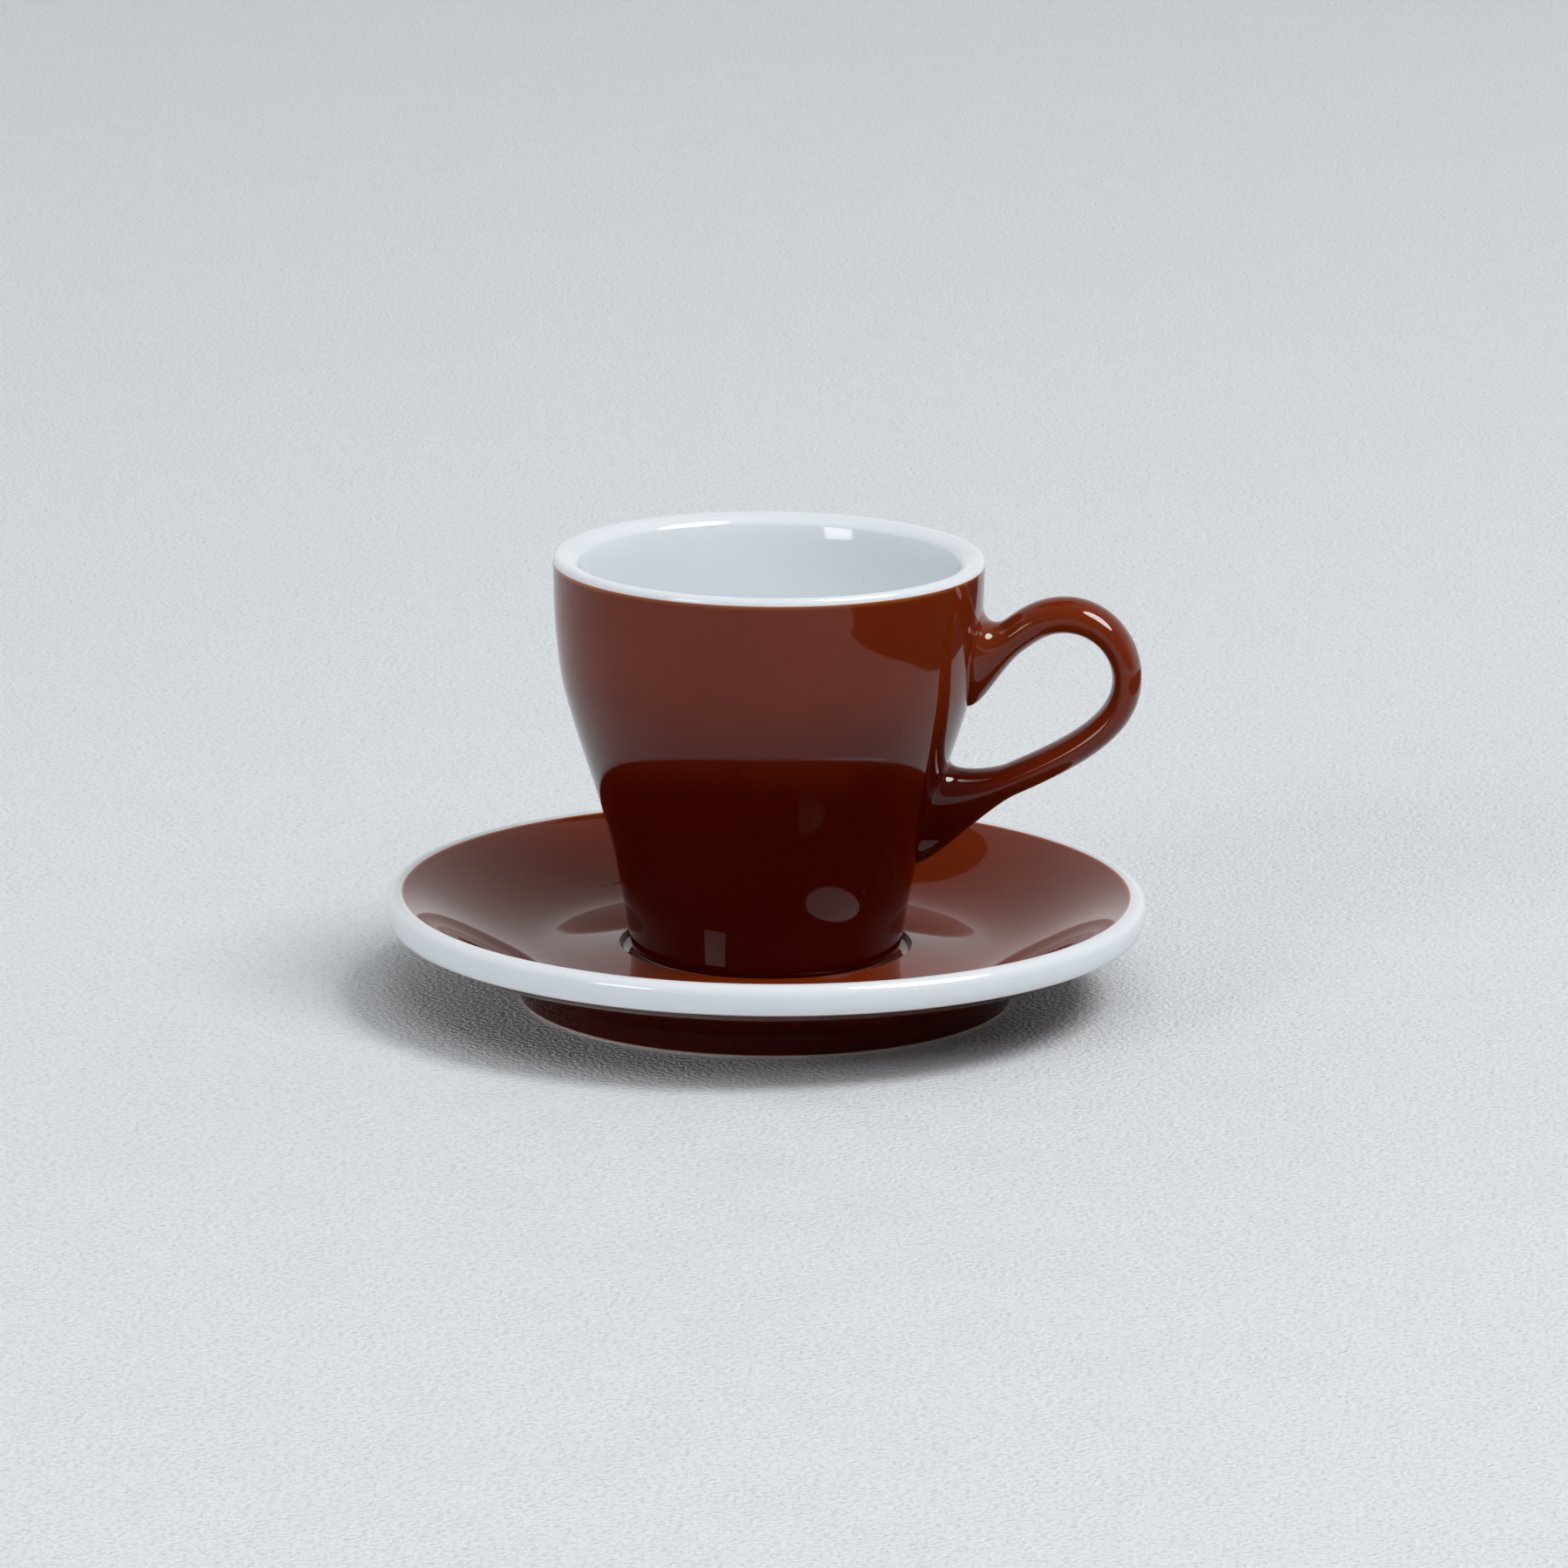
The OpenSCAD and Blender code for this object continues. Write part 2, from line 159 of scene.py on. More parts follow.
def through(stations: Sequence[Point], x: float) -> float:
    """Height at x of the smooth curve through the stations.

    Args:
        stations: places and heights, in order.
        x: place along the curve.

    Returns:
        The height at x.
    """
    last = len(stations) - 1

    def slope(i: int) -> float:
        """Slope of the chord between the neighbours of station i."""
        a, b = stations[max(i - 1, 0)], stations[min(i + 1, last)]
        return (b[1] - a[1]) / (b[0] - a[0])

    i = max([k for k in range(last) if k == 0 or x >= stations[k][0]])
    return cubic(stations[i], slope(i), stations[i + 1], slope(i + 1), x)


def bezier(p: Sequence[np.ndarray], t: float) -> np.ndarray:
    """Return the point at t of the cubic Bezier curve with the control points p."""
    s = 1 - t
    return p[0] * s ** 3 + p[1] * 3 * s * s * t + p[2] * 3 * s * t * t + p[3] * t ** 3


def bezier_direction(p: Sequence[np.ndarray], t: float) -> np.ndarray:
    """Return the unit direction at t of the cubic Bezier curve with the control points p."""
    s = 1 - t
    d = (p[1] - p[0]) * s * s + (p[2] - p[1]) * 2 * s * t + (p[3] - p[2]) * t * t
    return d / np.linalg.norm(d)


def inset(outline: Sequence[Point], depths: Sequence[float]) -> list[Point]:
    """Move each point of an outline to its left, into the clay.

    Args:
        outline: points in order, with the clay on the left.
        depths: how far each point moves.

    Returns:
        The moved points; points on the axis stay on it.
    """
    p = np.array(outline)
    step = np.diff(p, axis=0)
    step /= np.linalg.norm(step, axis=1)[:, None]
    normal = np.stack([-step[:, 1], step[:, 0]], axis=1)
    before = np.vstack([normal[:1], normal])
    after = np.vstack([normal, normal[-1:]])
    inward = (before + after) / (1 + np.sum(before * after, axis=1))[:, None]
    moved = p + np.array(depths)[:, None] * inward
    moved[p[:, 0] == 0, 0] = 0
    return [tuple(q) for q in moved]


def painted_shade_share(z: np.ndarray, clear_z: float, full_z: float) -> np.ndarray:
    """Share of painted shade at each height, larger towards the bottom.

    Args:
        z: the heights.
        clear_z: height at which the painted shade starts.
        full_z: height below which the painted shade is full.

    Returns:
        A number from 0 to 1 for each height.
    """
    return ease(np.clip((clear_z - z) / (clear_z - full_z), 0, 1))


# Mesh makers

def make_object(name: str, points: np.ndarray, faces: Sequence[Sequence[int]],
                crease: float = 35.0) -> bpy.types.Object:
    """Make a smooth-shaded mesh object.

    Args:
        name: name of the piece.
        points: vertices in millimetres.
        faces: vertex indices of each face, anticlockwise from outside.
        crease: edges that bend more than this many degrees stay sharp.

    Returns:
        The linked object.
    """
    mesh = bpy.data.meshes.new(name)
    mesh.from_pydata((np.asarray(points) * MM).tolist(), [], faces)
    mesh.validate()
    mesh.shade_smooth()
    mesh.set_sharp_from_angle(angle=math.radians(crease))
    piece = bpy.data.objects.new(name, mesh)
    bpy.context.scene.collection.objects.link(piece)
    return piece


def store(piece: bpy.types.Object, name: str, values: Sequence[float]) -> None:
    """Keep one number per vertex on a piece, for its material to read.

    Args:
        piece: the mesh object.
        name: name of the attribute.
        values: one number per vertex.
    """
    attribute = piece.data.attributes.new(name, "FLOAT", "POINT")
    attribute.data.foreach_set("value", np.asarray(values, np.float32))


def revolve(name: str, section: Sequence[Point], turns: int) -> tuple[bpy.types.Object, np.ndarray]:
    """Turn a closed section round the Z axis.

    Args:
        name: name of the piece.
        section: radius and height of each corner, anticlockwise, none repeated.
        turns: number of steps round the axis.

    Returns:
        The object, and for each vertex the number of the corner that it came from.
    """
    angles = np.linspace(0, 2 * math.pi, turns, endpoint=False)
    points: list[tuple[float, float, float]] = []
    source: list[int] = []
    rows: list[list[int]] = []
    for corner, (r, z) in enumerate(section):
        start = len(points)
        if r < 1e-9:
            points.append((0.0, 0.0, z))
            source.append(corner)
            rows.append([start] * turns)
            continue
        points.extend((r * math.cos(a), r * math.sin(a), z) for a in angles)
        source.extend([corner] * turns)
        rows.append(list(range(start, start + turns)))
    faces = []
    for i, row in enumerate(rows):
        above = rows[(i + 1) % len(rows)]
        for j in range(turns):
            k = (j + 1) % turns
            corners = list(dict.fromkeys((row[j], row[k], above[k], above[j])))
            if len(corners) > 2:
                faces.append(corners)
    return make_object(name, np.array(points), faces), np.array(source)


# Finishes

@dataclass(frozen=True)
class Finish:
    """What every finish has: a name, a colour, a middle roughness and a grain."""

    name: str
    body: Colour
    roughness: float
    grain_size: float
    grain_height: float
    grain_detail: float


@dataclass(frozen=True)
class BrownGlaze(Finish):
    """Deep red-brown gloss glaze with painted shade low on the cup, under the saucer and at the handle's
    lower root, and amber where it runs thin.
    """

    name: str = "brown_glaze"
    body: Colour = (0.165, 0.021, 0.0030)
    roughness: float = 0.045
    grain_size: float = 9.0
    grain_height: float = 0.012
    grain_detail: float = 1.0
    # Painted shade: the dark colour that the shaded parts of the brown turn to; the mottle leans a little
    # towards it too.
    dark_tone: Colour = (0.055, 0.0020, 0.0003)
    thin: Colour = (0.400, 0.110, 0.0200)
    mottle: float = 0.16
    ior: float = 1.38


@dataclass(frozen=True)
class WhiteGlaze(Finish):
    """Cool white gloss glaze with a trace of brown at its edge."""

    name: str = "white_glaze"
    body: Colour = (0.750, 0.792, 0.832)
    roughness: float = 0.07
    grain_size: float = 11.0
    grain_height: float = 0.012
    grain_detail: float = 1.0
    dark_tone: Colour = (0.745, 0.790, 0.835)
    stain: Colour = (0.520, 0.270, 0.120)
    mottle: float = 0.5
    ior: float = 1.5


@dataclass(frozen=True)
class BareClay(Finish):
    """Fired stoneware without glaze, with specks of grog."""

    name: str = "bare_clay"
    body: Colour = (0.74, 0.70, 0.62)
    roughness: float = 0.8
    grain_size: float = 0.35
    grain_height: float = 0.03
    grain_detail: float = 4.0
    grog: Colour = (0.55, 0.48, 0.38)


@dataclass(frozen=True)
class SlipFilm(BareClay):
    """Dried slip, a little darker than the clay that it joins."""

    name: str = "slip_film"
    body: Colour = (0.68, 0.62, 0.52)
    grog: Colour = (0.52, 0.44, 0.34)


@dataclass(frozen=True)
class PaperFloor(Finish):
    """Pale table covering with a fine pebbled grain and painted shade in its hollows."""

    name: str = "pebbled_paper"
    body: Colour = (0.740, 0.772, 0.803)
    roughness: float = 0.75
    grain_size: float = 1.0
    grain_height: float = 0.8
    grain_detail: float = 3.0
    # Painted shade in the grain's hollows, with the grain heights where it starts and where it is full.
    hollow_shade: Colour = (0.630, 0.656, 0.682)
    hollow_shade_start: float = 0.52
    hollow_shade_full: float = 0.30
    specular: float = 0.2


class NodeTree:
    """A small helper that adds and joins shader nodes."""

    def __init__(self, tree: bpy.types.NodeTree) -> None:
        """Keep the tree and start it empty."""
        self.tree = tree
        tree.nodes.clear()

    def add(self, kind: str, **settings: object) -> bpy.types.Node:
        """Add a node.

        Args:
            kind: its type name.
            settings: attributes to set, and in a dict named inputs its socket values.

        Returns:
            The node.
        """
        node = self.tree.nodes.new(kind)
        inputs = settings.pop("inputs", {})
        for key, value in settings.items():
            setattr(node, key, value)
        for key, value in inputs.items():
            node.inputs[key].default_value = value
        return node

    def join(self, source: bpy.types.NodeSocket, target: bpy.types.NodeSocket) -> None:
        """Link one socket to another."""
        self.tree.links.new(source, target)

    def blend(self, share: bpy.types.NodeSocket, a: bpy.types.NodeSocket | Colour,
              b: Colour) -> bpy.types.NodeSocket:
        """Mix two colours.

        Args:
            share: socket with the share of b.
            a: a colour, or the socket that gives one.
            b: the second colour.

        Returns:
            The socket with the mixed colour.
        """
        mixer = self.add("ShaderNodeMix", data_type="RGBA")
        self.join(share, mixer.inputs["Factor"])
        if isinstance(a, tuple):
            mixer.inputs[MIX_FIRST].default_value = (*a, 1.0)
        else:
            self.join(a, mixer.inputs[MIX_FIRST])
        mixer.inputs[MIX_SECOND].default_value = (*b, 1.0)
        return mixer.outputs[MIX_RESULT]


class NodeGroup(NodeTree):
    """A node group with plain number sockets."""

    def __init__(self, name: str, inputs: Sequence[str], outputs: Sequence[str]) -> None:
        """Make an empty group.

        Args:
            name: name of the group.
            inputs: names of its input sockets.
            outputs: names of its output sockets.
        """
        super().__init__(bpy.data.node_groups.new(name, "ShaderNodeTree"))
        for direction, sockets in (("INPUT", inputs), ("OUTPUT", outputs)):
            for socket in sockets:
                self.tree.interface.new_socket(socket, in_out=direction, socket_type="NodeSocketFloat")
        self.given = self.add("NodeGroupInput").outputs
        self.result = self.add("NodeGroupOutput").inputs


@dataclass(frozen=True)
class SurfaceGrain:
    """The uneven surface that every finish has, as one node group."""

    ripple_falloff: float = 0.45
    blotches_per_m: float = 45.0
    blotch_detail: float = 3.0
    blotch_falloff: float = 0.55
    blotch_start: float = 0.32
    blotch_full: float = 0.68
    specks_per_m: float = 420.0
    speck_edge: float = 0.10
    speck_core: float = 0.04
    gloss_play: float = 0.4

    def build(self) -> bpy.types.ShaderNodeTree:
        """Make the group.

        Returns:
            A group with the inputs Size (mm), Detail and Roughness, and the outputs Height, Mottle, Specks
            and Gloss, which is the roughness as it wanders over the surface.
        """
        nodes = NodeGroup("surface_grain", ("Size", "Detail", "Roughness"),
                          ("Height", "Mottle", "Specks", "Gloss"))
        place = nodes.add("ShaderNodeTexCoord").outputs["Object"]
        scale = nodes.add("ShaderNodeMath", operation="DIVIDE", inputs={0: 1 / MM})
        nodes.join(nodes.given["Size"], scale.inputs[1])
        ripple = nodes.add("ShaderNodeTexNoise", inputs={"Roughness": self.ripple_falloff})
        nodes.join(place, ripple.inputs["Vector"])
        nodes.join(scale.outputs[0], ripple.inputs["Scale"])
        nodes.join(nodes.given["Detail"], ripple.inputs["Detail"])
        nodes.join(ripple.outputs["Fac"], nodes.result["Height"])

        broad = nodes.add("ShaderNodeTexNoise",
                          inputs={"Scale": self.blotches_per_m, "Detail": self.blotch_detail,
                                  "Roughness": self.blotch_falloff})
        nodes.join(place, broad.inputs["Vector"])
        mottle = nodes.add("ShaderNodeMapRange", interpolation_type="SMOOTHSTEP",
                           inputs={"From Min": self.blotch_start, "From Max": self.blotch_full})
        nodes.join(broad.outputs["Fac"], mottle.inputs["Value"])
        nodes.join(mottle.outputs["Result"], nodes.result["Mottle"])

        cells = nodes.add("ShaderNodeTexVoronoi", inputs={"Scale": self.specks_per_m})
        nodes.join(place, cells.inputs["Vector"])
        specks = nodes.add("ShaderNodeMapRange", interpolation_type="SMOOTHSTEP",
                           inputs={"From Min": self.speck_edge, "From Max": self.speck_core})
        nodes.join(cells.outputs["Distance"], specks.inputs["Value"])
        nodes.join(specks.outputs["Result"], nodes.result["Specks"])

        wander = nodes.add("ShaderNodeMath", operation="MULTIPLY_ADD",
                           inputs={1: self.gloss_play, 2: 1 - self.gloss_play / 2})
        nodes.join(mottle.outputs["Result"], wander.inputs[0])
        gloss = nodes.add("ShaderNodeMath", operation="MULTIPLY", use_clamp=True)
        nodes.join(wander.outputs[0], gloss.inputs[0])
        nodes.join(nodes.given["Roughness"], gloss.inputs[1])
        nodes.join(gloss.outputs[0], nodes.result["Gloss"])
        return nodes.tree


@dataclass(frozen=True)
class ThinEdge:
    """The uneven line along which a glaze runs out, as one node group."""

    breakup: float = 0.35
    offset: float = -0.17

    def build(self) -> bpy.types.ShaderNodeTree:
        """Make the group.

        Returns:
            A group with the inputs Thin and Mottle, and the output Mask.
        """
        nodes = NodeGroup("thin_edge", ("Thin", "Mottle"), ("Mask",))
        wander = nodes.add("ShaderNodeMath", operation="MULTIPLY_ADD",
                           inputs={1: self.breakup, 2: self.offset})
        nodes.join(nodes.given["Mottle"], wander.inputs[0])
        total = nodes.add("ShaderNodeMath", operation="ADD", use_clamp=True)
        nodes.join(nodes.given["Thin"], total.inputs[0])
        nodes.join(wander.outputs[0], total.inputs[1])
        gate = nodes.add("ShaderNodeMath", operation="MULTIPLY", use_clamp=True)
        nodes.join(total.outputs[0], gate.inputs[0])
        nodes.join(nodes.given["Thin"], gate.inputs[1])
        nodes.join(gate.outputs[0], nodes.result["Mask"])
        return nodes.tree


class Dresser:
    """Makes every finish once and hands it out."""

    def __init__(self) -> None:
        """Make the node groups and then the finishes."""
        self.grain = SurfaceGrain().build()
        self.edge = ThinEdge().build()
        self.brown = self._make_brown(BrownGlaze())
        self.white = self._make_white(WhiteGlaze())
        self.clay = self._make_clay(BareClay())
        self.slip = self._make_clay(SlipFilm())
        self.paper = self._make_paper(PaperFloor())

    def _start(self, finish: Finish) -> tuple[bpy.types.Material, NodeTree, bpy.types.Node, bpy.types.Node]:
        """Make a material with its shader, its grain, its gloss and its bump.

        Args:
            finish: the finish to make.

        Returns:
            The material, its node helper, the shader and the grain group's node.
        """
        material = bpy.data.materials.new(finish.name)
        material.use_nodes = True
        nodes = NodeTree(material.node_tree)
        output = nodes.add("ShaderNodeOutputMaterial")
        shader = nodes.add("ShaderNodeBsdfPrincipled")
        nodes.join(shader.outputs["BSDF"], output.inputs["Surface"])
        grain = nodes.add("ShaderNodeGroup", node_tree=self.grain,
                          inputs={"Size": finish.grain_size, "Detail": finish.grain_detail,
                                  "Roughness": finish.roughness})
        nodes.join(grain.outputs["Gloss"], shader.inputs["Roughness"])
        bump = nodes.add("ShaderNodeBump", inputs={"Strength": 1.0, "Distance": finish.grain_height * MM})
        nodes.join(grain.outputs["Height"], bump.inputs["Height"])
        nodes.join(bump.outputs["Normal"], shader.inputs["Normal"])
        return material, nodes, shader, grain

    def _edge_mask(self, nodes: NodeTree, grain: bpy.types.Node) -> bpy.types.NodeSocket:
        """Read how thin the coat is at each vertex, broken up a little by the grain.

        Args:
            nodes: the material's node helper.
            grain: the grain group's node.

        Returns:
            The socket with the mask.
        """
        thin = nodes.add("ShaderNodeAttribute", attribute_name="thin")
        edge = nodes.add("ShaderNodeGroup", node_tree=self.edge)
        nodes.join(thin.outputs["Fac"], edge.inputs["Thin"])
        nodes.join(grain.outputs["Mottle"], edge.inputs["Mottle"])
        return edge.outputs["Mask"]

    def _make_brown(self, finish: BrownGlaze) -> bpy.types.Material:
        """Return the brown glaze."""
        material, nodes, shader, grain = self._start(finish)
        # Painted shade: the share stored on each piece, plus a little of the mottle, darkens the brown.
        painted_shade = nodes.add("ShaderNodeAttribute", attribute_name="painted_shade")
        dark_share = nodes.add("ShaderNodeMath", operation="MULTIPLY_ADD", use_clamp=True,
                         inputs={1: finish.mottle})
        nodes.join(grain.outputs["Mottle"], dark_share.inputs[0])
        nodes.join(painted_shade.outputs["Fac"], dark_share.inputs[2])
        colour = nodes.blend(dark_share.outputs[0], finish.body, finish.dark_tone)
        colour = nodes.blend(self._edge_mask(nodes, grain), colour, finish.thin)
        nodes.join(colour, shader.inputs["Base Color"])
        shader.inputs["IOR"].default_value = finish.ior
        return material

    def _make_white(self, finish: WhiteGlaze) -> bpy.types.Material:
        """Return the white glaze."""
        material, nodes, shader, grain = self._start(finish)
        dark_share = nodes.add("ShaderNodeMath", operation="MULTIPLY", inputs={1: finish.mottle})
        nodes.join(grain.outputs["Mottle"], dark_share.inputs[0])
        colour = nodes.blend(dark_share.outputs[0], finish.body, finish.dark_tone)
        colour = nodes.blend(self._edge_mask(nodes, grain), colour, finish.stain)
        nodes.join(colour, shader.inputs["Base Color"])
        shader.inputs["IOR"].default_value = finish.ior
        return material

    def _make_clay(self, finish: BareClay) -> bpy.types.Material:
        """Return a bare clay."""
        material, nodes, shader, grain = self._start(finish)
        colour = nodes.blend(grain.outputs["Specks"], finish.body, finish.grog)
        nodes.join(colour, shader.inputs["Base Color"])
        return material

    def _make_paper(self, finish: PaperFloor) -> bpy.types.Material:
        """Return the floor's finish."""
        material, nodes, shader, grain = self._start(finish)
        # Painted shade: the low parts of the grain turn darker.
        low = nodes.add("ShaderNodeMapRange",
                        inputs={"From Min": finish.hollow_shade_start, "From Max": finish.hollow_shade_full})
        nodes.join(grain.outputs["Height"], low.inputs["Value"])
        colour = nodes.blend(low.outputs["Result"], finish.body, finish.hollow_shade)
        nodes.join(colour, shader.inputs["Base Color"])
        shader.inputs["Specular IOR Level"].default_value = finish.specular
        return material


def dress(piece: bpy.types.Object, material: bpy.types.Material) -> None:
    """Give a piece its one material."""
    piece.data.materials.clear()
    piece.data.materials.append(material)


# Coats

@dataclass
class Coat:
    """One coat of glaze, cut from the outline of a turned piece.

    It covers the outline's points from first to last, and carries painted shade that grows from clear_z
    down to full_z.
    """

    name: str
    node: str
    slot: Slot
    first: int
    last: int
    edge: Edge
    edge_width: float
    clear_z: float = 0.0
    full_z: float = -1.0
    least_shade: float = 0.0


@dataclass
class TurnedPiece:
    """A clay piece turned round the Z axis, with its coats of glaze."""

    glaze_t: float = 0.4
    bare_h: float = 0.6
    turns: int = 288
    corner_steps: int = 8
    round_steps: int = 20

    def coat_section(self, skin: Sequence[Point], bare: range,
                     coat: Coat) -> tuple[list[Point], list[float]]:
        """Section of a coat, and how thin it is at each corner.

        Args:
            skin: the outline of the glazed piece.
            bare: numbers of the outline's points without glaze.
            coat: the coat to cut.

        Returns:
            The section's corners, and for each a number from 0 to 1 that is 1 where the coat runs out.
        """
        depth = [0.0 if i in bare else self.glaze_t for i in range(len(skin))]
        core = inset(skin, depth)
        outer = list(range(coat.first, coat.last + 1))
        inner = [i for i in reversed(outer) if depth[i] > 0]
        section = [skin[i] for i in outer] + [core[i] for i in inner]
        run = np.cumsum([0.0] + [math.dist(skin[i], skin[i - 1]) for i in outer[1:]])
        thin = np.zeros(len(outer))
        if coat.edge in (Edge.START, Edge.BOTH):
            thin = np.maximum(thin, 1 - run / coat.edge_width)
        if coat.edge in (Edge.END, Edge.BOTH):
            thin = np.maximum(thin, 1 - (run[-1] - run) / coat.edge_width)
        return section, list(thin) + [0.0] * len(inner)

    def make_coat(self, skin: Sequence[Point], bare: range, coat: Coat, lift: float, body: Body,
                  material: bpy.types.Material) -> bpy.types.Object:
        """Build a coat, dress it and let it ride on its body.

        Args:
            skin: the outline of the glazed piece.
            bare: numbers of the outline's points without glaze.
            coat: the coat to make.
            lift: height of the outline's zero above the table.
            body: the body that carries it.
            material: its finish.

        Returns:
            The piece.
        """
        section, thin = self.coat_section(skin, bare, coat)
        raised = [(r, z + lift) for r, z in section]
        piece, source = revolve(coat.name, raised, self.turns)
        heights = np.array([z for r, z in section])
        store(piece, "thin", np.clip(np.array(thin), 0, 1)[source])
        # Painted shade: darker towards the bottom, never under the coat's least share.
        painted_shade = mix(coat.least_shade, 1, painted_shade_share(heights, coat.clear_z, coat.full_z))
        store(piece, "painted_shade", painted_shade[source])
        dress(piece, material)
        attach(piece, body.value)
        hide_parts(coat.node)
        log.info("%s: %d faces", piece.name, len(piece.data.polygons))
        return piece


@dataclass
class Saucer(TurnedPiece):
    """The saucer: a clay piece with four coats of glaze."""

    diameter: float = 140.0
    height: float = 19.9
    rim_h: float = 5.5
    rim_w: float = 3.0
    rim_r: float = 2.0
    rim_tuck: float = 0.8
    rim_corner_share: float = 0.3
    flange_slope: float = 21.0
    trough_d: float = 82.0
    trough_drop: float = 1.1
    ring_slope: float = 6.0
    well_r: float = 26.2
    well_depth: float = 1.4
    well_wall_w: float = 0.8
    well_floor_t: float = 4.5
    recess: float = 4.1
    foot_d: float = 91.0
    foot_w: float = 4.0
    foot_h: float = 4.5
    foot_lean: float = 1.0
    foot_fillet: float = 1.3
    dish_steps: int = 40
    top_edge_w: float = 0.7
    rim_edge_w: float = 0.25
    under_edge_w: float = 0.35
    base_edge_w: float = 0.6

    @property
    def well_z(self) -> float:
        """Height of the well's floor, which the cup stands on."""
        return self.recess + self.well_floor_t

    def outline(self) -> tuple[list[Point], dict[str, int]]:
        """Outline from the axis underneath, out round the rim and back to the axis on top.

        Returns:
            The points, and the numbers of the points where one coat gives way to the next.
        """
        radius = self.diameter / 2
        foot_out = self.foot_d / 2
        foot_in = foot_out - self.foot_w
        fillet = self.foot_fillet
        low = (radius - self.rim_tuck, self.height - self.rim_h)
        mid = (radius, self.height - self.rim_r)
        corner = (radius, mix(low[1], mid[1], self.rim_corner_share))
        turn = 90 + math.degrees(math.asin((self.rim_w - self.rim_r) / self.rim_r))
        roll = arc((radius - self.rim_r, mid[1]), self.rim_r, self.rim_r, 0, turn, self.round_steps)
        crest = (self.well_r + self.well_wall_w, self.well_z + self.well_depth)
        trough = (self.trough_d / 2, crest[1] - self.trough_drop)
        flange = roll[-1]

        base = [(0.0, self.recess)]
        base += arc((foot_in - fillet, self.recess - fillet), fillet, fillet, 90, 0, self.corner_steps)
        base.append((foot_in, self.bare_h))
        foot = [(foot_in + self.bare_h, 0.0), (foot_out - self.bare_h, 0.0)]
        foot_top = (foot_out + self.foot_lean, self.foot_h)
        under = [(foot_out, self.bare_h)]
        under += line(under[0], foot_top, self.round_steps)
        under += line(foot_top, low, self.dish_steps)
        rim = []
        for k in range(1, self.corner_steps):
            t = k / self.corner_steps
            a = (mix(low[0], corner[0], t), mix(low[1], corner[1], t))
            b = (mix(corner[0], mid[0], t), mix(corner[1], mid[1], t))
            rim.append((mix(a[0], b[0], t), mix(a[1], b[1], t)))
        rim += roll
        dish = []
        for k in range(1, self.dish_steps + 1):
            r = mix(flange[0], trough[0], k / self.dish_steps)
            dish.append((r, cubic(trough, 0, flange, math.tan(math.radians(self.flange_slope)), r)))
        for k in range(1, self.dish_steps + 1):
            r = mix(trough[0], crest[0], k / self.dish_steps)
            dish.append((r, cubic(crest, -math.tan(math.radians(self.ring_slope)), trough, 0, r)))
        well = []
        for k in range(1, self.corner_steps + 1):
            t = k / self.corner_steps
            well.append((crest[0] - self.well_wall_w * t, crest[1] - self.well_depth * ease(t)))
        well.append((0.0, self.well_z))

        base_end = len(base) - 1
        under_start = base_end + len(foot) + 1
        rim_start = under_start + len(under) - 1
        top_start = rim_start + len(rim)
        marks = {"base_end": base_end, "under_start": under_start, "rim_start": rim_start,
                 "top_start": top_start}
        return base + foot + under + rim + dish + well, marks

    def build(self, dresser: Dresser) -> None:
        """Make the saucer's coats.

        Args:
            dresser: gives the finishes.
        """
        skin, marks = self.outline()
        bare = range(marks["base_end"], marks["under_start"] + 1)
        top = Coat("saucer_top", "saucer_top_glaze", Slot.BROWN, marks["top_start"], len(skin) - 1,
                   Edge.START, self.top_edge_w)
        rim = Coat("saucer_rim", "saucer_rim_glaze", Slot.WHITE, marks["rim_start"], marks["top_start"],
                   Edge.BOTH, self.rim_edge_w)
        # Painted shade under the saucer: it starts at the rim's top and is full from the rim's bottom down.
        under = Coat("saucer_under", "saucer_under_glaze", Slot.BROWN, marks["under_start"],
                     marks["rim_start"], Edge.BOTH, self.under_edge_w, self.height,
                     self.height - self.rim_h)
        base = Coat("saucer_base", "saucer_base_glaze", Slot.BROWN, 0, marks["base_end"], Edge.END,
                    self.base_edge_w)
        for coat, material in ((top, dresser.brown), (rim, dresser.white), (under, dresser.brown),
                               (base, dresser.brown)):
            self.make_coat(skin, bare, coat, 0.0, Body.SAUCER, material)


